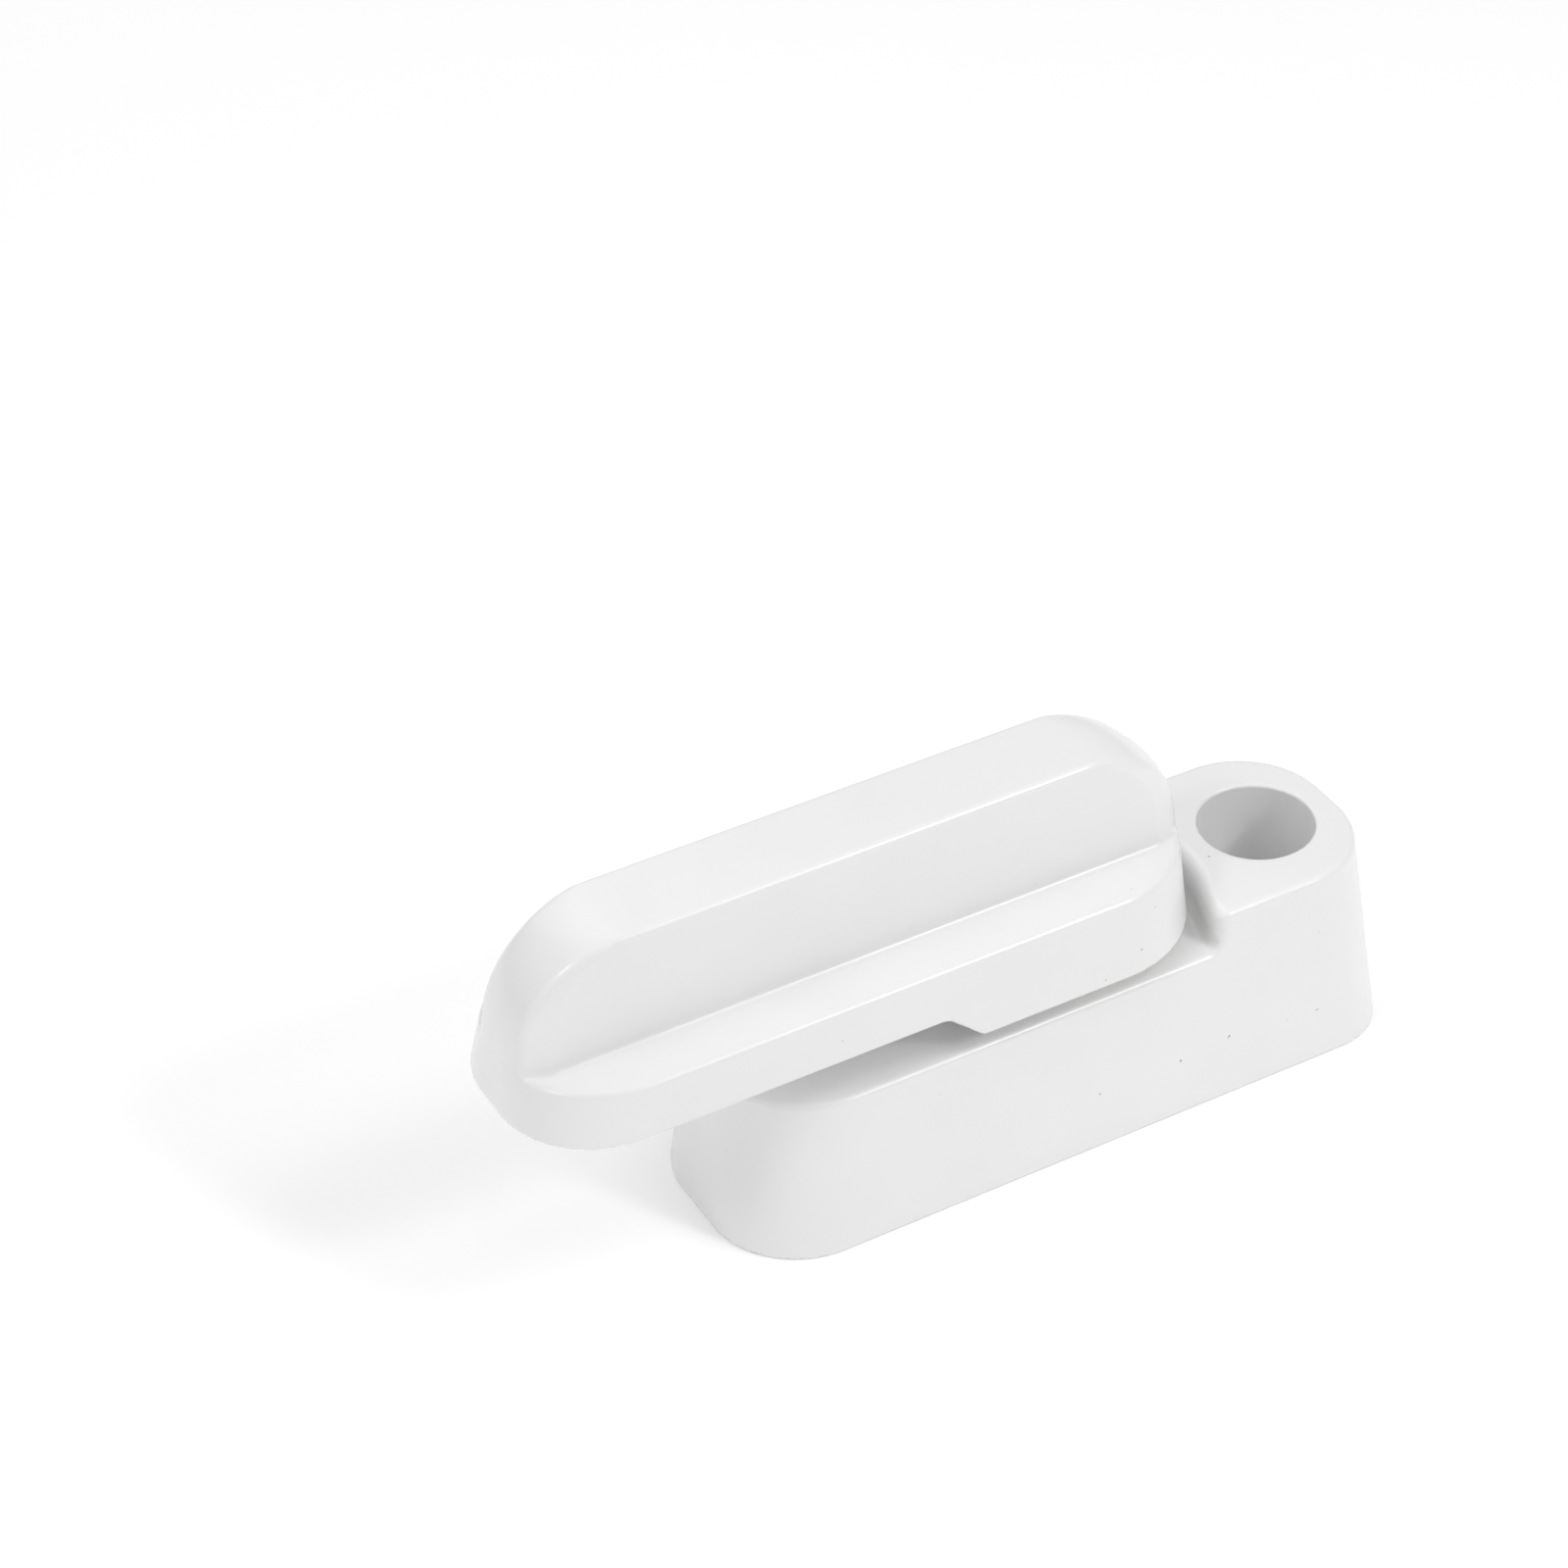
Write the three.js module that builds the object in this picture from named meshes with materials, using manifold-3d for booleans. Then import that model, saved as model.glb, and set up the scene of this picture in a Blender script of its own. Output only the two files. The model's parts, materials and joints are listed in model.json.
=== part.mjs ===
// Swing-arm window lock: a die-cast base that is screwed to the window frame, and a die-cast arm
// that turns on a sprung pin to reach over the sash. Millimetres, +Z up, mounting face at z = 0.
// +X runs from the arm's free end to the screw boss. The lock is drawn unlocked, arm over the base.
// The origin is the middle of the lock's length, on the pad at the crossing of the base's ribs.

import * as THREE from 'three';
import { LoftGeometry } from 'three/addons/geometries/LoftGeometry.js';
import { mergeVertices } from 'three/addons/utils/BufferGeometryUtils.js';
import Module from 'manifold-3d';

const wasm = await Module();
wasm.setup();

// ---------- driving dimensions ----------

const ROUND_STEPS = 48; // sides of a full circle
const CORNER_STEPS = 10; // sides of one rounded corner
const OVERCUT = 1; // how far a cutting tool runs past the face that it opens

// Base casting. Outline sizes are at the mounting face, and every wall leans in by the draft.
// Its corners grow rounder towards the top.
const BASE_LEFT = -21.5;
const BASE_RIGHT = 38;
const BASE_HALF_WIDTH = 10;
const BASE_DRAFT = Math.tan(THREE.MathUtils.degToRad(4.8));
const LEFT_CORNER_FOOT = 7.4;
const LEFT_CORNER_TOP = 8.4;
const RIGHT_CORNER_FOOT = 5.7;
const RIGHT_CORNER_TOP = 7.2;
const DECK_Z = 14;
const BOSS_Z = 17.35;

// Pivot axis, and the hollow end of the boss that the arm turns in.
const PIVOT_X = 10.7;
const HOLLOW_RADIUS_DECK = 11.4;
const HOLLOW_RADIUS_TOP = 11.7;
const BOSS_FLAT_OFFSET = 9.85; // the boss's front corners are flat here, measured from the pivot

// Screw holes: a deep round counterbore with a flat seat, then a clearance hole.
const SCREW_END_DISTANCE = 8.4; // from each end of the base
const COUNTERBORE_RADIUS = 4.7;
const SCREW_SEAT_Z = 4.6;
const SCREW_HOLE_RADIUS = 2.4;

// Hollow underside.
const WALL = 2;
const ROOF_THICKNESS = 2.4;
const RIB_THICKNESS = 1.8;
const RIB_PAD_RADIUS = 2.5;
const POCKET_RADIUS = 6.4;
const POCKET_WALL = 1.6;
const POCKET_ROOF_Z = 8;

// Arm casting. Outline sizes are at the raised underside, which bears on the sash.
const ARM_FREE_END = -38;
const ARM_HALF_WIDTH = 9.25;
const ARM_FREE_CORNER = 7.7; // grows with height, as the base's corners do
const ARM_FREE_CORNER_LEDGE = 8.5;
const ARM_ROUND_X = 11.6; // centre of the half-round end
const ARM_DRAFT = Math.tan(THREE.MathUtils.degToRad(6.4));
const PAD_Z = 15.8;
const UNDERSIDE_Z = 18.3;
const LEDGE_Z = 22.8;
const RIDGE_Z = 32.5;
const PAD_END_X = -1.5; // where the low pad round the pivot ends and the step rises
const STEP_RUN = 2.9;
const RIDGE_HALF_WIDTH = 4.15; // at the ledge
const RIDGE_HALF_WIDTH_TOP = 3.75;
const RIDGE_END_STEPS = 10;
const RIDGE_WIDTH_STEPS = 6;

// Pin and what is on it, from the arm down into the pocket.
const PIN_RADIUS = 3.5;
const PIN_TOP_Z = 27;
const PIN_BOTTOM_Z = 0.4;
const PIN_CHAMFER = 0.5;
const PRESS_GAP = 0.05;
const RUNNING_GAP = 0.1;
const FACE_GAP = 0.05;
const BLIND_GAP = 0.4;
const THRUST_WASHER_RADIUS = 7.2;
const WASHER_THICKNESS = 0.9;
const WASHER_RADIUS = 6.1;
const WASHER_BORE_RADIUS = 3.65;
const SPRING_WIRE_RADIUS = 0.45;
const SPRING_RADIUS = 4.85;
const SPRING_TURNS = 3;
const SPRING_STEPS_PER_TURN = 24;
const SPRING_WIRE_SIDES = 8;
const CLIP_THICKNESS = 0.7;
const CLIP_INNER_RADIUS = 2.8;
const CLIP_OUTER_RADIUS = 5.2;
const CLIP_MOUTH_ANGLE = THREE.MathUtils.degToRad(70);
const GROOVE_RADIUS = 2.7;
const GROOVE_BOTTOM_Z = 1.1;
const GROOVE_TOP_Z = 1.9;

// ---------- sizes worked out from those ----------

const BOSS_SCREW_X = BASE_RIGHT - SCREW_END_DISTANCE;
const DECK_SCREW_X = BASE_LEFT + SCREW_END_DISTANCE;
const CAVITY_ROOF_Z = DECK_Z - ROOF_THICKNESS;
const LEDGE_INSET = (LEDGE_Z - UNDERSIDE_Z) * ARM_DRAFT;
const CLIP_Z = (GROOVE_BOTTOM_Z + GROOVE_TOP_Z - CLIP_THICKNESS) / 2;
const RETAINING_WASHER_Z = CLIP_Z + CLIP_THICKNESS + FACE_GAP;
const DECK_WASHER_Z = POCKET_ROOF_Z - FACE_GAP - WASHER_THICKNESS;
const SPRING_BOTTOM_Z = RETAINING_WASHER_Z + WASHER_THICKNESS + FACE_GAP + SPRING_WIRE_RADIUS;
const SPRING_TOP_Z = DECK_WASHER_Z - FACE_GAP - SPRING_WIRE_RADIUS;

// ---------- materials ----------

const coating = { color: 0xf2f2f0, roughness: 0.35, metalness: 0 };
const zincPlate = { color: 0xb4b6ba, roughness: 0.35, metalness: 1 };
const springSteel = { color: 0x77787c, roughness: 0.4, metalness: 1 };
const acetal = { color: 0xe9e7df, roughness: 0.5, metalness: 0 };

// ---------- solids ----------

// A closed three.js geometry as a solid that can be joined and cut.
function solid(geometry) {
  const bare = new THREE.BufferGeometry().copy(geometry);
  bare.deleteAttribute('normal');
  bare.deleteAttribute('uv');
  const merged = mergeVertices(bare);
  return new wasm.Manifold(new wasm.Mesh({
    numProp: 3,
    vertProperties: new Float32Array(merged.attributes.position.array),
    triVerts: new Uint32Array(merged.index.array),
  }));
}

function geometryOf(manifold) {
  const mesh = manifold.getMesh();
  const geometry = new THREE.BufferGeometry();
  geometry.setAttribute('position', new THREE.BufferAttribute(mesh.vertProperties, 3));
  geometry.setIndex(new THREE.BufferAttribute(mesh.triVerts, 1));
  geometry.computeVertexNormals();
  return geometry;
}

// A solid of revolution about the vertical line through (x, 0), from [radius, z] pairs.
function turned(x, profile) {
  const points = profile.map(([radius, z]) => new THREE.Vector2(radius, z));
  const lathe = new THREE.LatheGeometry(points, ROUND_STEPS);
  return solid(lathe.rotateX(Math.PI / 2).translate(x, 0, 0));
}

function disc(x, radius, bottom, top) {
  return turned(x, [[0, bottom], [radius, bottom], [radius, top], [0, top]]);
}

function ring(x, inner, outer, bottom, top) {
  return turned(x, [[inner, bottom], [outer, bottom], [outer, top], [inner, top], [inner, bottom]]);
}

function block(left, right, halfWidth, bottom, top) {
  const box = new THREE.BoxGeometry(right - left, 2 * halfWidth, top - bottom);
  return solid(box.translate((left + right) / 2, 0, (bottom + top) / 2));
}

// Points of an arc about (x, y), both ends included.
function arc(x, y, radius, from, to, steps) {
  return Array.from({ length: steps + 1 }, (_, i) => {
    const angle = from + ((to - from) * i) / steps;
    return new THREE.Vector2(x + radius * Math.cos(angle), y + radius * Math.sin(angle));
  });
}

// The plan outline of a bar with rounded corners, counterclockwise from the right end.
function roundedOutline(left, right, halfWidth, leftCorner, rightCorner) {
  const quarter = Math.PI / 2;
  const rightX = right - rightCorner;
  const leftX = left + leftCorner;
  const rightY = halfWidth - rightCorner;
  const leftY = halfWidth - leftCorner;
  return [
    ...arc(rightX, -rightY, rightCorner, -quarter, 0, CORNER_STEPS),
    ...arc(rightX, rightY, rightCorner, 0, quarter, CORNER_STEPS),
    ...arc(leftX, leftY, leftCorner, quarter, 2 * quarter, CORNER_STEPS),
    ...arc(leftX, -leftY, leftCorner, 2 * quarter, 3 * quarter, CORNER_STEPS),
  ];
}

// A solid through a stack of plan outlines, each given with its height.
function stacked(levels) {
  const sections = levels.map(({ outline, z }) => outline.map((p) => new THREE.Vector3(p.x, p.y, z)));
  return solid(new LoftGeometry(sections, { capStart: true, capEnd: true }));
}

// ---------- base casting ----------

// The base's outline at a height, or one inside it by the thickness of a wall.
function baseOutline(z, wall) {
  const inset = wall + z * BASE_DRAFT;
  const rise = z / BOSS_Z;
  return roundedOutline(
    BASE_LEFT + inset,
    BASE_RIGHT - inset,
    BASE_HALF_WIDTH - inset,
    THREE.MathUtils.lerp(LEFT_CORNER_FOOT, LEFT_CORNER_TOP, rise) - wall,
    THREE.MathUtils.lerp(RIGHT_CORNER_FOOT, RIGHT_CORNER_TOP, rise) - wall,
  );
}

function draftedBase(wall, bottom, top) {
  return stacked([bottom, top].map((z) => ({ outline: baseOutline(z, wall), z })));
}

// What is taken off above the deck to leave only the boss.
function aboveDeck() {
  const top = BOSS_Z + OVERCUT;
  const hollow = turned(PIVOT_X, [
    [0, DECK_Z],
    [HOLLOW_RADIUS_DECK, DECK_Z],
    [HOLLOW_RADIUS_TOP, BOSS_Z],
    [HOLLOW_RADIUS_TOP, top],
    [0, top],
  ]);
  const front = block(BASE_LEFT - OVERCUT, PIVOT_X + BOSS_FLAT_OFFSET, BASE_HALF_WIDTH, DECK_Z, top);
  return hollow.add(front);
}

// The screw columns, the pivot's bearing, the ribs and their pad, which the hollow goes round.
function underCastings() {
  const bottom = -2 * OVERCUT;
  const columnRadius = COUNTERBORE_RADIUS + WALL;
  const rib = RIB_THICKNESS / 2;
  return disc(DECK_SCREW_X, columnRadius, bottom, DECK_Z)
    .add(disc(BOSS_SCREW_X, columnRadius, bottom, DECK_Z))
    .add(disc(PIVOT_X, POCKET_RADIUS + POCKET_WALL, bottom, DECK_Z))
    .add(disc(0, RIB_PAD_RADIUS, bottom, DECK_Z))
    .add(block(-rib, rib, BASE_HALF_WIDTH, bottom, DECK_Z))
    .add(block(BASE_LEFT, BASE_RIGHT, rib, bottom, DECK_Z));
}

function screwHole(x, top) {
  return disc(x, COUNTERBORE_RADIUS, SCREW_SEAT_Z, top + OVERCUT)
    .add(disc(x, SCREW_HOLE_RADIUS, -OVERCUT, SCREW_SEAT_Z + OVERCUT));
}

function baseBody() {
  const cavity = draftedBase(WALL, -OVERCUT, CAVITY_ROOF_Z).subtract(underCastings());
  const bore = disc(PIVOT_X, PIN_RADIUS + RUNNING_GAP, 0, DECK_Z + OVERCUT);
  const pocket = disc(PIVOT_X, POCKET_RADIUS, -OVERCUT, POCKET_ROOF_Z);
  return draftedBase(0, 0, BOSS_Z)
    .subtract(aboveDeck())
    .subtract(cavity)
    .subtract(bore)
    .subtract(pocket)
    .subtract(screwHole(DECK_SCREW_X, DECK_Z))
    .subtract(screwHole(BOSS_SCREW_X, BOSS_Z));
}

// ---------- arm casting ----------

function armOutline(z) {
  const inset = (z - UNDERSIDE_Z) * ARM_DRAFT;
  const rise = (z - UNDERSIDE_Z) / (LEDGE_Z - UNDERSIDE_Z);
  const endRadius = ARM_HALF_WIDTH - inset;
  const freeCorner = THREE.MathUtils.lerp(ARM_FREE_CORNER, ARM_FREE_CORNER_LEDGE, rise);
  return roundedOutline(ARM_FREE_END + inset, ARM_ROUND_X + endRadius, endRadius, freeCorner, endRadius);
}

// The grip ridge: flat on top, with both ends bowed in plan and falling in a quarter circle.
function gripRidge() {
  const rise = RIDGE_Z - LEDGE_Z;
  const endRadius = ARM_HALF_WIDTH - LEDGE_INSET;
  const freeEnd = ARM_FREE_END + LEDGE_INSET;
  const pivotEnd = ARM_ROUND_X + endRadius;
  const level = (z, setback) => {
    const lean = (z - LEDGE_Z) / rise;
    const halfWidth = THREE.MathUtils.lerp(RIDGE_HALF_WIDTH, RIDGE_HALF_WIDTH_TOP, lean);
    const across = Array.from({ length: RIDGE_WIDTH_STEPS + 1 }, (_, i) => (
      THREE.MathUtils.lerp(-halfWidth, halfWidth, i / RIDGE_WIDTH_STEPS)
    ));
    const inFromEnd = (y) => setback + endRadius - Math.sqrt(endRadius ** 2 - y ** 2);
    const right = across.map((y) => new THREE.Vector2(pivotEnd - inFromEnd(y), y));
    const left = across.toReversed().map((y) => new THREE.Vector2(freeEnd + inFromEnd(y), y));
    return { outline: [...right, ...left], z };
  };
  const falls = Array.from({ length: RIDGE_END_STEPS + 1 }, (_, i) => {
    const angle = (i / RIDGE_END_STEPS) * (Math.PI / 2);
    return level(LEDGE_Z + rise * Math.sin(angle), rise * (1 - Math.cos(angle)));
  });
  return stacked([level(LEDGE_Z - OVERCUT, OVERCUT), ...falls]);
}

// What is taken off below the raised underside, from the sloped step out to the free end.
function underFreeHalf() {
  const farLeft = ARM_FREE_END - OVERCUT;
  const below = PAD_Z - OVERCUT;
  const profile = new THREE.Shape([
    new THREE.Vector2(farLeft, below),
    new THREE.Vector2(PAD_END_X, below),
    new THREE.Vector2(PAD_END_X, PAD_Z),
    new THREE.Vector2(PAD_END_X - STEP_RUN, UNDERSIDE_Z),
    new THREE.Vector2(farLeft, UNDERSIDE_Z),
  ]);
  const depth = 2 * (ARM_HALF_WIDTH + OVERCUT);
  const prism = new THREE.ExtrudeGeometry(profile, { depth, bevelEnabled: false });
  return solid(prism.rotateX(Math.PI / 2).translate(0, depth / 2, 0));
}

function swingArm() {
  const levels = [PAD_Z, LEDGE_Z].map((z) => ({ outline: armOutline(z), z }));
  const pinBore = disc(PIVOT_X, PIN_RADIUS + PRESS_GAP, PAD_Z - OVERCUT, PIN_TOP_Z + BLIND_GAP);
  return stacked(levels)
    .subtract(underFreeHalf())
    .add(gripRidge())
    .subtract(pinBore);
}

// ---------- pin and what is on it ----------

function pivotPin() {
  return turned(PIVOT_X, [
    [0, PIN_BOTTOM_Z],
    [GROOVE_RADIUS, PIN_BOTTOM_Z],
    [PIN_RADIUS, PIN_BOTTOM_Z + PIN_CHAMFER],
    [PIN_RADIUS, GROOVE_BOTTOM_Z],
    [GROOVE_RADIUS, GROOVE_BOTTOM_Z],
    [GROOVE_RADIUS, GROOVE_TOP_Z],
    [PIN_RADIUS, GROOVE_TOP_Z],
    [PIN_RADIUS, PIN_TOP_Z - PIN_CHAMFER],
    [PIN_RADIUS - PIN_CHAMFER, PIN_TOP_Z],
    [0, PIN_TOP_Z],
  ]);
}

function thrustWasher() {
  const bottom = DECK_Z + FACE_GAP;
  const top = PAD_Z - FACE_GAP;
  return ring(PIVOT_X, PIN_RADIUS + RUNNING_GAP, THRUST_WASHER_RADIUS, bottom, top);
}

function washer(bottom) {
  return ring(PIVOT_X, WASHER_BORE_RADIUS, WASHER_RADIUS, bottom, bottom + WASHER_THICKNESS);
}

class Helix extends THREE.Curve {
  getPoint(t, target = new THREE.Vector3()) {
    const angle = 2 * Math.PI * SPRING_TURNS * t;
    return target.set(
      PIVOT_X + SPRING_RADIUS * Math.cos(angle),
      SPRING_RADIUS * Math.sin(angle),
      THREE.MathUtils.lerp(SPRING_BOTTOM_Z, SPRING_TOP_Z, t),
    );
  }
}

function coilSpring() {
  const wire = new THREE.Shape(arc(0, 0, SPRING_WIRE_RADIUS, 0, 2 * Math.PI, SPRING_WIRE_SIDES).slice(1));
  return solid(new THREE.ExtrudeGeometry(wire, {
    steps: SPRING_TURNS * SPRING_STEPS_PER_TURN,
    bevelEnabled: false,
    extrudePath: new Helix(),
  }));
}

// A ring with a mouth on its +X side, so that it pushes onto the pin's groove sideways.
function retainingClip() {
  const half = CLIP_MOUTH_ANGLE / 2;
  const inner = arc(0, 0, CLIP_INNER_RADIUS, half, 2 * Math.PI - half, ROUND_STEPS);
  const outer = arc(0, 0, CLIP_OUTER_RADIUS, half, 2 * Math.PI - half, ROUND_STEPS);
  const shape = new THREE.Shape([...outer, ...inner.toReversed()]);
  const clip = new THREE.ExtrudeGeometry(shape, { depth: CLIP_THICKNESS, bevelEnabled: false });
  return solid(clip.translate(PIVOT_X, 0, CLIP_Z));
}

// ---------- assembly ----------

function piece(name, manifold, look) {
  const mesh = new THREE.Mesh(geometryOf(manifold), new THREE.MeshStandardMaterial(look));
  mesh.name = name;
  return mesh;
}

const group = new THREE.Group();
group.add(
  piece('base_body', baseBody(), coating),
  piece('swing_arm', swingArm(), coating),
  piece('pivot_pin', pivotPin(), zincPlate),
  piece('thrust_washer', thrustWasher(), acetal),
  piece('deck_washer', washer(DECK_WASHER_Z), zincPlate),
  piece('coil_spring', coilSpring(), springSteel),
  piece('retaining_washer', washer(RETAINING_WASHER_Z), zincPlate),
  piece('e_clip', retainingClip(), springSteel),
);

export default group;
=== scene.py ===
"""Looks of the swing-arm window lock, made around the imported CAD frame.

The two castings are meshed from distance fields, so that their edges are rounded and their corners
filleted as a die casting's are. The small turned and wound pieces are revolved, swept or extruded.
Lengths are in millimetres up to the moment a mesh is made, and in metres from there on.
"""

import json
import math

import bmesh
import bpy
import numpy as np
from mathutils import Matrix, Vector


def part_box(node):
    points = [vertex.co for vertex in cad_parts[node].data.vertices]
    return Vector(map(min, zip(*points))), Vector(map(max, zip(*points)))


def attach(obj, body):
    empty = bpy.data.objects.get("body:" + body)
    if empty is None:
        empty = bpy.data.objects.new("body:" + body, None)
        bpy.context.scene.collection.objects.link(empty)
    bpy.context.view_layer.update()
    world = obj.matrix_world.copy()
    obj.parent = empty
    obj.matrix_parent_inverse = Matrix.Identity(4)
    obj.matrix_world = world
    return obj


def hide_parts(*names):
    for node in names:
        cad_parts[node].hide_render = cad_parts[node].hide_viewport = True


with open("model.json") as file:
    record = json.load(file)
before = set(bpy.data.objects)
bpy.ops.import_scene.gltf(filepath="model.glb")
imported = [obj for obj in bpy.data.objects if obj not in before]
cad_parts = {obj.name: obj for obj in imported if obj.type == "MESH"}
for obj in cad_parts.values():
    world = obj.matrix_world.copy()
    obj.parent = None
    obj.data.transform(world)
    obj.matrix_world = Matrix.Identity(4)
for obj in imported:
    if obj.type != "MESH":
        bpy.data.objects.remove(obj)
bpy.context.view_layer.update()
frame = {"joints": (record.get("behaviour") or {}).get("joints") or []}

MM = 0.001  # a millimetre in metres

# ---------- sizes read from the frame, in millimetres ----------

BASE_LOW, BASE_HIGH = (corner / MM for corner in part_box("base_body"))
ARM_LOW, ARM_HIGH = (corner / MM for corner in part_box("swing_arm"))
PIN_LOW, PIN_HIGH = (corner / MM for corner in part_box("pivot_pin"))
PIVOT_X = frame["joints"][0]["pos_m"][0] / MM

BASE_LEFT = BASE_LOW.x
BASE_RIGHT = BASE_HIGH.x
BASE_HALF_WIDTH = BASE_HIGH.y
BOSS_TOP = BASE_HIGH.z
ARM_FREE_END = ARM_LOW.x
PAD_BOTTOM = ARM_LOW.z
RIDGE_TOP = ARM_HIGH.z
PIN_RADIUS = PIN_HIGH.y

# ---------- sizes of the base casting ----------

BASE_DRAFT = math.radians(4.8)
LEFT_CORNER_FOOT = 7.4
LEFT_CORNER_TOP = 8.4
RIGHT_CORNER_FOOT = 5.7
RIGHT_CORNER_TOP = 7.2
DECK = 14.0
HOLLOW_RADIUS_DECK = 11.4  # of the hollow in the boss that the arm's round end turns in
HOLLOW_RADIUS_TOP = 11.7
BOSS_FLAT_X = PIVOT_X + 9.85
HOLLOW_CORNER_ROUND = 1.0
HOLLOW_FOOT_FILLET = 1.0
BOSS_EDGE_ROUND = 0.4
BOSS_FRONT_ROUND = 1.0
DECK_EDGE_ROUND = 0.4
FRONT_STARTS = DECK + 0.3  # the edge's rounding changes from the deck's to the boss's up here
FRONT_ENDS = DECK + 1.5
FOOT_EDGE_ROUND = 0.2
SCREW_END_DISTANCE = 8.4
SCREWS_X = (BASE_LEFT + SCREW_END_DISTANCE, BASE_RIGHT - SCREW_END_DISTANCE)
COUNTERBORE_RADIUS = 4.7
SCREW_SEAT = 4.6
SCREW_HOLE_RADIUS = 2.4
RIM_ROUND = 0.2
RUNNING_GAP = 0.1  # round the pin, in the base and in the thrust washer
WALL = 2.0
CAVITY_ROOF = DECK - 2.4
RIB_HALF = 0.9
RIB_PAD_RADIUS = 2.5
COLUMN_RADIUS = COUNTERBORE_RADIUS + WALL
POCKET_RADIUS = 6.4
POCKET_WALL = 1.6
POCKET_ROOF = 8.0
INNER_FILLET = 0.5
CREVICE = 0.9  # a gap between a wall and what stands beside it is filled where it is narrower

# ---------- sizes of the arm casting ----------

ARM_HALF_WIDTH = 9.25
ARM_FREE_CORNER = 7.7
ARM_FREE_CORNER_LEDGE = 8.5
ARM_ROUND_X = 11.6
ARM_DRAFT = math.radians(6.4)
UNDERSIDE = 18.3
LEDGE = 22.8
PAD_END_X = -1.5
STEP_RUN = 2.9
RIDGE_HALF_WIDTH = 4.15
RIDGE_HALF_WIDTH_TOP = 3.75
RIDGE_FALL = 7.8  # radius of the arc in which the ridge falls at both ends
UNDER_EDGE_ROUND = 0.25
STEP_FILLET = 0.3
RIDGE_EDGE_ROUND = 0.42
RIDGE_FOOT_FILLET = 0.45
STRIP_WIDTH = 2.1
STRIP_WIDTH_LEAST = 0.02  # where there is no strip, as a share of its width
STRIP_LENGTH = 9.0
STRIP_DEPTH = 0.5  # as a share of the width there, and so is the blend
STRIP_BLEND = 0.06
PIN_BORE_RADIUS = PIN_RADIUS + 0.05
PIN_BORE_TOP = PIN_HIGH.z + 0.4
BORE_MOUTH_ROUND = 0.125

# ---------- sizes of the small pieces ----------

PIN_CHAMFER = 0.5
PIN_EDGE_ROUND = 0.12
GROOVE_DEPTH = 0.8
GROOVE_WIDTH = 0.8
GROOVE_FROM_END = 0.7
WASHER_BORE = PIN_RADIUS + 0.15
WASHER_EDGE_ROUND = 0.15
THRUST_BORE = PIN_RADIUS + RUNNING_GAP
THRUST_EDGE_ROUND = 0.25
SPRING_TURNS = 3
SPRING_STEPS = 48 * SPRING_TURNS
WIRE_RADIUS = 0.45
CLIP_LUG_RADIUS = 2.8
CLIP_GAP_RADIUS = 3.5
CLIP_HALF_MOUTH = math.radians(35)
CLIP_TIP = math.radians(22)  # how far the lug at each side of the mouth reaches
CLIP_LUGS = 3
CLIP_LUG_START, CLIP_LUG_FULL = 0.72, 0.86  # on a wave that peaks at each lug
CLIP_STEPS = 120
CLIP_EDGE_ROUND = 0.08
CLIP_EDGE_ANGLE = math.radians(50)  # only edges sharper than this are rounded

# ---------- how finely things are meshed ----------

CASTING_STEP = 0.3  # spacing of the grid that a casting is meshed on
SLOPE_REACH = 0.02  # how far to each side of a point the field's slope is measured
SLOPE_SQUARED_LEAST = 0.1
SURFACE_PASSES = 4
FLAT_WITHIN = math.radians(0.25)
LATHE_SIDES = 128
CORNER_STEPS = 4
CORNER_SHARE = 0.45  # the most of an edge that rounding one of its corners takes
ON_AXIS = 1e-6


# ---------- distance fields: negative inside, arrays of millimetres ----------

def mix(a, b, share):
    """From a to b, by a share."""
    return a + (b - a) * share


def smooth_step(low, high, value):
    """0 up to low and 1 from high on, with a smooth rise between them."""
    share = np.clip((value - low) / (high - low), 0, 1)
    return share * share * (3 - 2 * share)


def overlap(a, b, radius):
    """What a and b share, with the edge between their surfaces rounded."""
    rounded = np.hypot(np.maximum(a + radius, 0), np.maximum(b + radius, 0))
    return np.minimum(-radius, np.maximum(a, b)) + rounded


def join(a, b, radius):
    """a and b together, with the corner between their surfaces filleted."""
    return -overlap(-a, -b, radius)


def cut(a, tool, radius):
    """a with the tool taken off, and the edge that this leaves rounded."""
    return overlap(a, -tool, radius)


def bar(x, y, left, right, half_width, left_corner, right_corner):
    """The plan outline of a bar whose two ends have corners of their own."""
    middle = (left + right) / 2
    corner = np.where(x < middle, left_corner, right_corner)
    along = np.abs(x - middle) - (right - left) / 2 + corner
    across = np.abs(y) - half_width + corner
    outside = np.hypot(np.maximum(along, 0), np.maximum(across, 0))
    return outside + np.minimum(np.maximum(along, across), 0) - corner


def base_outline(x, y, z, wall):
    """The base's outline, with draft, or the outline a wall's thickness inside it."""
    inset = wall + z * math.tan(BASE_DRAFT)
    rise = z / BOSS_TOP
    plan = bar(
        x, y, BASE_LEFT + inset, BASE_RIGHT - inset, BASE_HALF_WIDTH - inset,
        mix(LEFT_CORNER_FOOT, LEFT_CORNER_TOP, rise) - wall,
        mix(RIGHT_CORNER_FOOT, RIGHT_CORNER_TOP, rise) - wall,
    )
    return plan * math.cos(BASE_DRAFT)


def above_deck(x, y, z):
    """What is taken off above the deck to leave the boss, with its round hollow."""
    radius = mix(HOLLOW_RADIUS_DECK, HOLLOW_RADIUS_TOP, (z - DECK) / (BOSS_TOP - DECK))
    hollow = np.hypot(x - PIVOT_X, y) - radius
    plan = join(x - BOSS_FLAT_X, hollow, HOLLOW_CORNER_ROUND)
    return overlap(plan, DECK - z, HOLLOW_FOOT_FILLET)


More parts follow.
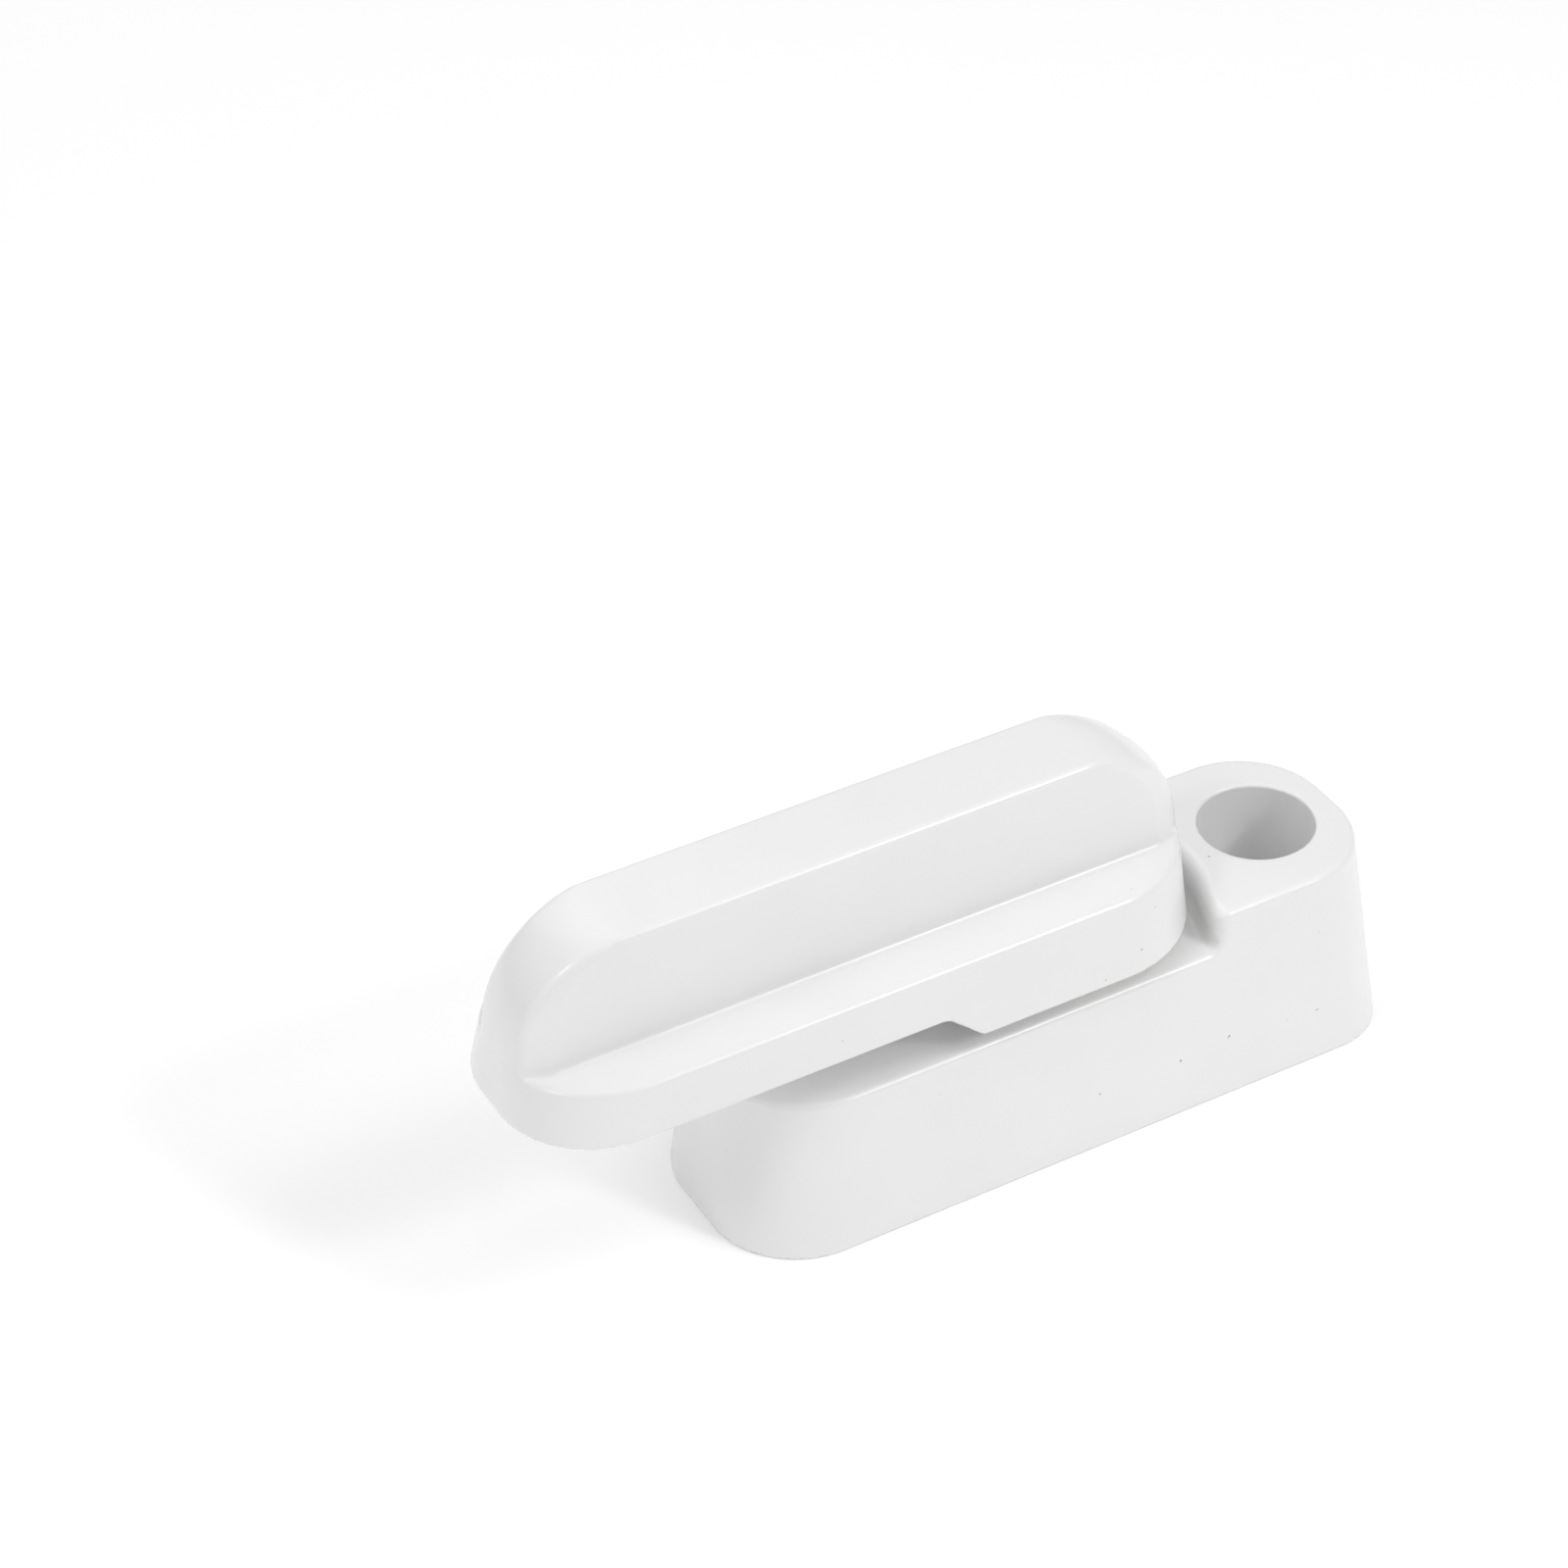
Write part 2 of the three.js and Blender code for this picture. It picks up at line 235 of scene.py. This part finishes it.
def under_hollow(x, y, z):
    """The hollow under the base, which goes round its columns, bearing, ribs and pad."""
    hollow = overlap(base_outline(x, y, z, WALL), z - CAVITY_ROOF, INNER_FILLET)
    standing = join(np.abs(y) - RIB_HALF, np.abs(x) - RIB_HALF, INNER_FILLET)
    standing = join(standing, np.hypot(x, y) - RIB_PAD_RADIUS, INNER_FILLET)
    for screw_x in SCREWS_X:
        standing = join(standing, np.hypot(x - screw_x, y) - COLUMN_RADIUS, INNER_FILLET)
    bearing = np.hypot(x - PIVOT_X, y) - POCKET_RADIUS - POCKET_WALL
    standing = join(standing, bearing, INNER_FILLET)
    narrow = (hollow - standing + CREVICE) / math.sqrt(2)
    return np.maximum(cut(hollow, standing, INNER_FILLET), narrow)


def base_field(x, y, z):
    """The base: a drafted block, and what is cut from it above the deck and from below."""
    body = overlap(base_outline(x, y, z, 0), z - BOSS_TOP, BOSS_EDGE_ROUND)
    edge = mix(DECK_EDGE_ROUND, BOSS_FRONT_ROUND, smooth_step(FRONT_STARTS, FRONT_ENDS, z))
    body = cut(body, above_deck(x, y, z), edge)
    body = overlap(body, -z, FOOT_EDGE_ROUND)
    body = cut(body, under_hollow(x, y, z), RIM_ROUND)
    for screw_x in SCREWS_X:
        radius = np.hypot(x - screw_x, y)
        counterbore = overlap(radius - COUNTERBORE_RADIUS, SCREW_SEAT - z, RIM_ROUND)
        body = cut(body, counterbore, RIM_ROUND)
        body = cut(body, radius - SCREW_HOLE_RADIUS, RIM_ROUND)
    radius = np.hypot(x - PIVOT_X, y)
    body = cut(body, overlap(radius - POCKET_RADIUS, z - POCKET_ROOF, RIM_ROUND), RIM_ROUND)
    return cut(body, radius - PIN_RADIUS - RUNNING_GAP, RIM_ROUND)


def arm_block(x, y, z):
    """The arm's outline, with draft, and with a top that falls in an arc at both ends."""
    inset = (z - UNDERSIDE) * math.tan(ARM_DRAFT)
    half_width = ARM_HALF_WIDTH - inset
    left = ARM_FREE_END + inset
    right = ARM_ROUND_X + half_width
    blunter = (z - UNDERSIDE) / (LEDGE - UNDERSIDE)
    free_corner = np.minimum(mix(ARM_FREE_CORNER, ARM_FREE_CORNER_LEDGE, blunter), half_width)
    plan = bar(x, y, left, right, half_width, free_corner, half_width)
    middle = (left + right) / 2
    corner = np.where(x < middle, free_corner, half_width)
    reach = np.clip(np.abs(y) - half_width + corner, 0, RIDGE_HALF_WIDTH + 1)
    end = np.abs(x - middle) - (right - left) / 2 + corner - np.sqrt(corner**2 - reach**2)
    return np.maximum(plan * math.cos(ARM_DRAFT), overlap(end, z - RIDGE_TOP, RIDGE_FALL))


def beside_ridge(x, y, z, block):
    """What is taken off the block to leave the ledge and the ridge.

    Towards both of its ends the ridge's wall turns in along a strip that widens downwards.
    """
    inset = (LEDGE - UNDERSIDE) * math.tan(ARM_DRAFT)
    left = ARM_FREE_END + inset
    right = ARM_ROUND_X + ARM_HALF_WIDTH - inset
    rise = (z - LEDGE) / (RIDGE_TOP - LEDGE)
    wall = np.abs(y) - mix(RIDGE_HALF_WIDTH, RIDGE_HALF_WIDTH_TOP, rise)
    from_end = np.minimum(x - left, right - x)
    width = STRIP_WIDTH * np.clip(1 - from_end / STRIP_LENGTH, STRIP_WIDTH_LEAST, 1)
    depth = STRIP_DEPTH * width
    strip = (block / width + wall / depth + 1) / np.hypot(1 / width, 1 / depth)
    wall = overlap(wall, strip, STRIP_BLEND * width)
    return overlap(-wall, LEDGE - z, RIDGE_FOOT_FILLET)


def arm_field(x, y, z):
    """The arm: a block, and what is cut from it beside its ridge and under its free half."""
    block = arm_block(x, y, z)
    arm = cut(block, beside_ridge(x, y, z, block), RIDGE_EDGE_ROUND)
    step_rise = UNDERSIDE - PAD_BOTTOM
    slope = (x - PAD_END_X) * step_rise + (z - PAD_BOTTOM) * STEP_RUN
    slope = slope / math.hypot(step_rise, STEP_RUN)
    arm = cut(arm, overlap(z - UNDERSIDE, slope, STEP_FILLET), UNDER_EDGE_ROUND)
    arm = overlap(arm, PAD_BOTTOM - z, UNDER_EDGE_ROUND)
    bore = overlap(np.hypot(x - PIVOT_X, y) - PIN_BORE_RADIUS, z - PIN_BORE_TOP, RIM_ROUND)
    return cut(arm, bore, BORE_MOUTH_ROUND)


# ---------- meshes ----------

def gradient(field, points):
    """The field's slope at each point."""
    steps = np.eye(3) * SLOPE_REACH
    ahead = [field(*(points + step).T) for step in steps]
    behind = [field(*(points - step).T) for step in steps]
    return (np.array(ahead) - np.array(behind)).T / (2 * SLOPE_REACH)


def onto_surface(field, points):
    """Points moved on to the field's surface."""
    for _ in range(SURFACE_PASSES):
        slope = gradient(field, points)
        squared = np.maximum(np.einsum("ij,ij->i", slope, slope), SLOPE_SQUARED_LEAST)
        points = points - slope * (field(*points.T) / squared)[:, None]
    return points


def surface_net(field, low, high, step):
    """Vertices and quads of the field's surface, one vertex in each grid cell that it crosses.

    The grid reaches past the box by more than a cell on every side, so the surface closes.
    """
    axes = [np.arange(a - 1.5 * step, b + 2.5 * step, step) for a, b in zip(low, high)]
    values = field(*np.meshgrid(*axes, indexing="ij", sparse=True))
    shape = np.array(values.shape)
    strides = np.array([shape[1] * shape[2], shape[2], 1])
    sums = np.zeros((values.size, 3))
    counts = np.zeros(values.size)
    quads = []
    for axis in range(3):
        others = [(axis + 1) % 3, (axis + 2) % 3]
        here = np.take(values, range(shape[axis] - 1), axis)
        there = np.take(values, range(1, shape[axis]), axis)
        spot = np.argwhere((here < 0) != (there < 0))
        first = here[tuple(spot.T)]
        second = there[tuple(spot.T)]
        crossing = spot.astype(float)
        crossing[:, axis] += first / (first - second)
        corner = spot @ strides
        back, down = strides[others]
        around = [corner, corner - back, corner - back - down, corner - down]
        for cell in around:
            counts += np.bincount(cell, minlength=values.size)
            for k in range(3):
                sums[:, k] += np.bincount(cell, crossing[:, k], minlength=values.size)
        ring = np.stack(around, 1)
        outward = first < 0
        quads.append(ring[outward])
        quads.append(ring[~outward][:, ::-1])
    used = np.flatnonzero(counts)
    index = np.zeros(values.size, int)
    index[used] = np.arange(len(used))
    origin = np.array([axis[0] for axis in axes])
    points = origin + step * sums[used] / counts[used][:, None]
    return onto_surface(field, points), index[np.concatenate(quads)]


def object_of(name, mesh, material):
    """An object of that mesh or curve, in the scene, with the material."""
    piece = bpy.data.objects.new(name, mesh)
    bpy.context.scene.collection.objects.link(piece)
    piece.data.materials.append(material)
    return piece


def casting(name, node, field, material):
    """A casting's mesh: flat stretches are single faces, and the field gives every normal."""
    low, high = (np.array(corner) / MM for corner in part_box(node))
    points, quads = surface_net(field, low, high, CASTING_STEP)
    mesh = bpy.data.meshes.new(name)
    mesh.from_pydata(points.tolist(), [], quads.tolist())
    work = bmesh.new()
    work.from_mesh(mesh)
    bmesh.ops.dissolve_limit(
        work, angle_limit=FLAT_WITHIN, verts=work.verts, edges=work.edges,
        use_dissolve_boundaries=False,
    )
    bmesh.ops.triangulate(work, faces=[face for face in work.faces if len(face.verts) > 4])
    work.to_mesh(mesh)
    work.free()
    kept = np.zeros(len(mesh.vertices) * 3)
    mesh.vertices.foreach_get("co", kept)
    normals = gradient(field, kept.reshape(-1, 3))
    normals /= np.linalg.norm(normals, axis=1)[:, None]
    mesh.transform(Matrix.Scale(MM, 4))
    mesh.shade_smooth()
    mesh.normals_split_custom_set_from_vertices(normals.tolist())
    return object_of(name, mesh, material)


def about_pivot(radius, angle, height):
    """A point in metres, at a radius and an angle about the pivot."""
    point = (PIVOT_X + radius * math.cos(angle), radius * math.sin(angle), height)
    return Vector(point) * MM


def rounded(points, radius):
    """A closed profile with each of its corners off the axis rounded."""
    result = []
    for i, point in enumerate(points):
        here = Vector(point)
        if here.x < ON_AXIS:
            result.append(here)
            continue
        before = Vector(points[i - 1]) - here
        after = Vector(points[(i + 1) % len(points)]) - here
        reach = min(radius, before.length * CORNER_SHARE, after.length * CORNER_SHARE)
        start = here + before.normalized() * reach
        end = here + after.normalized() * reach
        for k in range(CORNER_STEPS + 1):
            t = k / CORNER_STEPS
            result.append(start * (1 - t) ** 2 + here * (2 * t * (1 - t)) + end * t**2)
    return result


def turned(name, profile, material):
    """A closed profile of (radius, height) revolved about the pivot."""
    work = bmesh.new()
    rings = []
    for point in profile:
        ring = []
        for k in range(1 if point.x < ON_AXIS else LATHE_SIDES):
            corner = about_pivot(point.x, 2 * math.pi * k / LATHE_SIDES, point.y)
            ring.append(work.verts.new(corner))
        rings.append(ring)
    for i, ring in enumerate(rings):
        following = rings[(i + 1) % len(rings)]
        if len(ring) == 1 and len(following) == 1:
            continue
        for k in range(LATHE_SIDES):
            corners = [ring[k % len(ring)], ring[(k + 1) % len(ring)]]
            corners += [following[(k + 1) % len(following)], following[k % len(following)]]
            work.faces.new(list(dict.fromkeys(corners)))
    bmesh.ops.recalc_face_normals(work, faces=work.faces)
    mesh = bpy.data.meshes.new(name)
    work.to_mesh(mesh)
    work.free()
    mesh.shade_smooth()
    return object_of(name, mesh, material)


# ---------- materials: sizes in metres, and scales in features per metre ----------

NOISE_LOW, NOISE_HIGH = 0.3, 0.7  # most of a noise's values lie between these


def new_material(name):
    """A material, its node tree and its one shader."""
    material = bpy.data.materials.new(name)
    material.use_nodes = True
    tree = material.node_tree
    tree.nodes.clear()
    shader = tree.nodes.new("ShaderNodeBsdfPrincipled")
    output = tree.nodes.new("ShaderNodeOutputMaterial")
    tree.links.new(shader.outputs["BSDF"], output.inputs["Surface"])
    return material, tree, shader


def noise(tree, scale, detail=3.0, roughness=0.5, stretch=(1, 1, 1)):
    """Noise over the piece's own coordinates."""
    coordinates = tree.nodes.new("ShaderNodeTexCoord")
    mapping = tree.nodes.new("ShaderNodeMapping")
    mapping.inputs["Scale"].default_value = stretch
    texture = tree.nodes.new("ShaderNodeTexNoise")
    texture.inputs["Scale"].default_value = scale
    texture.inputs["Detail"].default_value = detail
    texture.inputs["Roughness"].default_value = roughness
    tree.links.new(coordinates.outputs["Object"], mapping.inputs["Vector"])
    tree.links.new(mapping.outputs["Vector"], texture.inputs["Vector"])
    return texture.outputs["Fac"]


def ramp(tree, value, *stops):
    """Maps a value to the colours between two stops, each (position, colour)."""
    node = tree.nodes.new("ShaderNodeValToRGB")
    for element, (position, colour) in zip(node.color_ramp.elements, stops):
        element.position = position
        element.color = (*colour, 1)
    tree.links.new(value, node.inputs["Fac"])
    return node.outputs["Color"]


def tones(tree, value, low, high):
    """The middle of a noise's range, mapped from one colour to another."""
    return ramp(tree, value, (NOISE_LOW, low), (NOISE_HIGH, high))


def multiplied(tree, first, second):
    """Two colours multiplied together."""
    node = tree.nodes.new("ShaderNodeMix")
    node.data_type = "RGBA"
    node.blend_type = "MULTIPLY"
    factor, colour_a, colour_b = (node.inputs[i] for i in (0, 6, 7))
    factor.default_value = 1.0
    tree.links.new(first, colour_a)
    tree.links.new(second, colour_b)
    return node.outputs[2]


def spread(tree, value, low, high):
    """The middle of a noise's range, spread from low to high."""
    node = tree.nodes.new("ShaderNodeMapRange")
    node.inputs["From Min"].default_value = NOISE_LOW
    node.inputs["From Max"].default_value = NOISE_HIGH
    node.inputs["To Min"].default_value = low
    node.inputs["To Max"].default_value = high
    tree.links.new(value, node.inputs["Value"])
    return node.outputs["Result"]


def bumps(tree, shader, layers):
    """Bump layers, each (height, depth), one over another."""
    below = None
    for height, depth in layers:
        node = tree.nodes.new("ShaderNodeBump")
        node.inputs["Distance"].default_value = depth
        tree.links.new(height, node.inputs["Height"])
        if below:
            tree.links.new(below, node.inputs["Normal"])
        below = node.outputs["Normal"]
    tree.links.new(below, shader.inputs["Normal"])


def white_coating():
    """Glossy white powder coating: faint orange peel, slow tone changes and a few dark specks."""
    material, tree, shader = new_material("white_coating")
    tone = tones(tree, noise(tree, 90, 4), (0.885, 0.887, 0.885), (0.908, 0.908, 0.904))
    specks = ramp(tree, noise(tree, 1300, 1, 0.4), (0.815, (1, 1, 1)), (0.835, (0.5, 0.49, 0.47)))
    tree.links.new(multiplied(tree, tone, specks), shader.inputs["Base Color"])
    tree.links.new(spread(tree, noise(tree, 260, 4), 0.2, 0.27), shader.inputs["Roughness"])
    bumps(tree, shader, [
        (noise(tree, 160, 2), 0.00006),
        (noise(tree, 700, 2), 0.000012),
        (noise(tree, 2600, 3), 0.000003),
    ])
    return material


def zinc_plate():
    """Bright zinc plate over turned steel."""
    material, tree, shader = new_material("zinc_plate")
    shader.inputs["Metallic"].default_value = 1.0
    tone = tones(tree, noise(tree, 500, 5), (0.58, 0.59, 0.61), (0.74, 0.75, 0.77))
    tree.links.new(tone, shader.inputs["Base Color"])
    tree.links.new(spread(tree, noise(tree, 1200, 4), 0.24, 0.4), shader.inputs["Roughness"])
    bumps(tree, shader, [(noise(tree, 1500, 3, stretch=(1, 1, 8)), 0.000008)])
    return material


def spring_steel():
    """Dark oiled spring steel with drawing marks and a slight brown cast in places."""
    material, tree, shader = new_material("spring_steel")
    shader.inputs["Metallic"].default_value = 1.0
    tone = tones(tree, noise(tree, 700, 5), (0.24, 0.235, 0.23), (0.42, 0.42, 0.43))
    tree.links.new(tone, shader.inputs["Base Color"])
    tree.links.new(spread(tree, noise(tree, 1800, 4), 0.3, 0.5), shader.inputs["Roughness"])
    bumps(tree, shader, [(noise(tree, 3000, 3), 0.000006)])
    return material


def acetal():
    """Natural moulded acetal, slightly waxy."""
    material, tree, shader = new_material("acetal")
    shader.inputs["Subsurface Weight"].default_value = 0.15
    shader.inputs["Subsurface Scale"].default_value = 0.001
    tone = tones(tree, noise(tree, 300, 4), (0.78, 0.77, 0.72), (0.84, 0.83, 0.79))
    tree.links.new(tone, shader.inputs["Base Color"])
    tree.links.new(spread(tree, noise(tree, 900, 4), 0.4, 0.55), shader.inputs["Roughness"])
    bumps(tree, shader, [(noise(tree, 2000, 3), 0.000008)])
    return material


def studio_floor():
    """A plain white table, faintly mottled, that gives off a little light of its own."""
    material, tree, shader = new_material("studio_floor")
    tone = tones(tree, noise(tree, 6, 3), (0.945, 0.945, 0.945), (0.955, 0.955, 0.955))
    tree.links.new(tone, shader.inputs["Base Color"])
    shader.inputs["Roughness"].default_value = 0.9
    shader.inputs["Specular IOR Level"].default_value = 0.2
    shader.inputs["Emission Color"].default_value = (1, 1, 1, 1)
    shader.inputs["Emission Strength"].default_value = 0.15
    return material


# ---------- pieces ----------

def pivot_pin(material):
    """The pin, chamfered at both ends, with the clip's groove near its foot."""
    groove_radius = PIN_RADIUS - GROOVE_DEPTH
    groove_bottom = PIN_LOW.z + GROOVE_FROM_END
    groove_top = groove_bottom + GROOVE_WIDTH
    profile = [
        (0, PIN_LOW.z),
        (groove_radius, PIN_LOW.z),
        (PIN_RADIUS, PIN_LOW.z + PIN_CHAMFER),
        (PIN_RADIUS, groove_bottom),
        (groove_radius, groove_bottom),
        (groove_radius, groove_top),
        (PIN_RADIUS, groove_top),
        (PIN_RADIUS, PIN_HIGH.z - PIN_CHAMFER),
        (PIN_RADIUS - PIN_CHAMFER, PIN_HIGH.z),
        (0, PIN_HIGH.z),
    ]
    return turned("pivot_pin_detailed", rounded(profile, PIN_EDGE_ROUND), material)


def flat_ring(node, inner, edge, material):
    """A washer with rounded edges, as high and as wide as its CAD node."""
    low, high = (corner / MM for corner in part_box(node))
    outer = high.y
    profile = [(inner, low.z), (outer, low.z), (outer, high.z), (inner, high.z)]
    return turned(f"{node}_detailed", rounded(profile, edge), material)


def coil_spring(material):
    """Round wire wound at an even pitch."""
    low, high = (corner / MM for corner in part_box("coil_spring"))
    radius = high.y - WIRE_RADIUS
    bottom = low.z + WIRE_RADIUS
    top = high.z - WIRE_RADIUS
    curve = bpy.data.curves.new("coil_spring_detailed", "CURVE")
    curve.dimensions = "3D"
    curve.bevel_depth = WIRE_RADIUS * MM
    curve.bevel_resolution = 6
    curve.use_fill_caps = True
    spline = curve.splines.new("POLY")
    spline.points.add(SPRING_STEPS)
    for i, point in enumerate(spline.points):
        t = i / SPRING_STEPS
        angle = 2 * math.pi * SPRING_TURNS * t
        point.co = (*about_pivot(radius, angle, mix(bottom, top, t)), 1)
    return object_of("coil_spring_detailed", curve, material)


def e_clip(material):
    """A flat retaining ring: open on one side, with three lugs that grip the groove."""
    low, high = (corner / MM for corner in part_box("e_clip"))
    start, end = CLIP_HALF_MOUTH, 2 * math.pi - CLIP_HALF_MOUTH
    angles = [mix(start, end, i / CLIP_STEPS) for i in range(CLIP_STEPS + 1)]
    outline = [(high.y, angle) for angle in angles]
    for angle in reversed(angles):
        wave = abs(math.cos(CLIP_LUGS / 2 * (angle - math.pi)))
        lug = smooth_step(CLIP_LUG_START, CLIP_LUG_FULL, wave)
        tip = 1 - smooth_step(0, CLIP_TIP, min(angle - start, end - angle))
        outline.append((mix(CLIP_GAP_RADIUS, CLIP_LUG_RADIUS, float(max(lug, tip))), angle))
    work = bmesh.new()
    corners = [work.verts.new(about_pivot(radius, angle, low.z)) for radius, angle in outline]
    face = work.faces.new(corners)
    raised = bmesh.ops.extrude_face_region(work, geom=[face])["geom"]
    lift = Vector((0, 0, (high.z - low.z) * MM))
    upper = [item for item in raised if isinstance(item, bmesh.types.BMVert)]
    bmesh.ops.translate(work, vec=lift, verts=upper)
    bmesh.ops.recalc_face_normals(work, faces=work.faces)
    mesh = bpy.data.meshes.new("e_clip_detailed")
    work.to_mesh(mesh)
    work.free()
    piece = object_of("e_clip_detailed", mesh, material)
    bevel = piece.modifiers.new("edges", "BEVEL")
    bevel.width = CLIP_EDGE_ROUND * MM
    bevel.segments = 2
    bevel.limit_method = "ANGLE"
    bevel.angle_limit = CLIP_EDGE_ANGLE
    return piece


def place(piece, body, node):
    """Puts a piece in its node's stead, on the same body."""
    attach(piece, body)
    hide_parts(node)


def build_lock():
    """Every piece of the lock, each in the stead of its CAD node."""
    coating = white_coating()
    plate = zinc_plate()
    steel = spring_steel()
    plastic = acetal()
    base = casting("base_casting", "base_body", base_field, coating)
    place(base, "base", "base_body")
    arm = casting("arm_casting", "swing_arm", arm_field, coating)
    place(arm, "arm", "swing_arm")
    place(pivot_pin(plate), "arm", "pivot_pin")
    thrust = flat_ring("thrust_washer", THRUST_BORE, THRUST_EDGE_ROUND, plastic)
    place(thrust, "base", "thrust_washer")
    upper = flat_ring("deck_washer", WASHER_BORE, WASHER_EDGE_ROUND, plate)
    place(upper, "base", "deck_washer")
    place(coil_spring(steel), "base", "coil_spring")
    lower = flat_ring("retaining_washer", WASHER_BORE, WASHER_EDGE_ROUND, plate)
    place(lower, "arm", "retaining_washer")
    place(e_clip(steel), "arm", "e_clip")


# ---------- studio, in metres and watts ----------

LAMP_DISTANCE = 0.6
FLOOR_HALF_WIDTH = 3.0
FLOOR_BELOW = 0.02 * MM  # so that the floor isn't in one plane with the mounting face
CAMERA_SPOT = Vector((-124.48, -205.93, 217.39)) * MM
CAMERA_TURN = (-28.449, 52.529, -1.491)  # heading, tilt up from straight down, and roll
CAMERA_LENS = 93.594
CAMERA_SENSOR = 36


def build_floor():
    """The table, wide enough to fill the picture."""
    work = bmesh.new()
    bmesh.ops.create_grid(work, x_segments=8, y_segments=8, size=FLOOR_HALF_WIDTH)
    mesh = bpy.data.meshes.new("studio_floor")
    work.to_mesh(mesh)
    work.free()
    floor = object_of("studio_floor", mesh, studio_floor())
    floor.location.z = -FLOOR_BELOW


def softbox(name, direction, width, power):
    """A square area light that faces the lock from a direction and doesn't show in the picture."""
    light = bpy.data.lights.new(name, "AREA")
    light.size = width
    light.energy = power
    lamp = bpy.data.objects.new(name, light)
    bpy.context.scene.collection.objects.link(lamp)
    towards = Vector(direction).normalized()
    lamp.location = towards * LAMP_DISTANCE
    lamp.rotation_mode = "QUATERNION"
    lamp.rotation_quaternion = towards.to_track_quat("Z", "Y")
    lamp.visible_camera = False


def build_light():
    """Soft boxes round the lock, at one distance, and an even white world.

    Each row gives a direction from the lock, the light's width and its power.
    """
    for name, direction, width, power in (
        ("key", (0.40, -0.65, 0.64), 0.09, 0.62),
        ("high_key", (0.42, -0.42, 0.82), 0.15, 0.5),
        ("left", (-0.65, -0.15, 0.75), 0.12, 0.42),
        ("overhead", (0.1, 0.1, 1.0), 0.8, 1.5),
        ("side", (-1, -0.1, 0.5), 0.4, 0.28),
        ("back", (0, 1, 0.7), 0.4, 0.45),
    ):
        softbox(name, direction, width, power)
    world = bpy.data.worlds.new("studio")
    world.use_nodes = True
    sky = world.node_tree.nodes["Background"]
    sky.inputs["Color"].default_value = (1, 1, 1, 1)
    sky.inputs["Strength"].default_value = 0.29
    bpy.context.scene.world = world
    bpy.context.scene.view_settings.view_transform = "Standard"


def build_camera():
    """The camera, at the photo's viewing angle."""
    heading, tilt, roll = (math.radians(angle) for angle in CAMERA_TURN)
    lens = bpy.data.cameras.new("camera")
    lens.sensor_width = CAMERA_SENSOR
    lens.lens = CAMERA_LENS
    lens.clip_start = 0.01
    camera = bpy.data.objects.new("camera", lens)
    bpy.context.scene.collection.objects.link(camera)
    turn = Matrix.Rotation(heading, 4, "Z") @ Matrix.Rotation(tilt, 4, "X")
    turn = turn @ Matrix.Rotation(roll, 4, "Z")
    camera.matrix_world = Matrix.Translation(CAMERA_SPOT) @ turn
    bpy.context.scene.camera = camera


build_lock()
build_floor()
build_light()
build_camera()

bpy.context.view_layer.update()
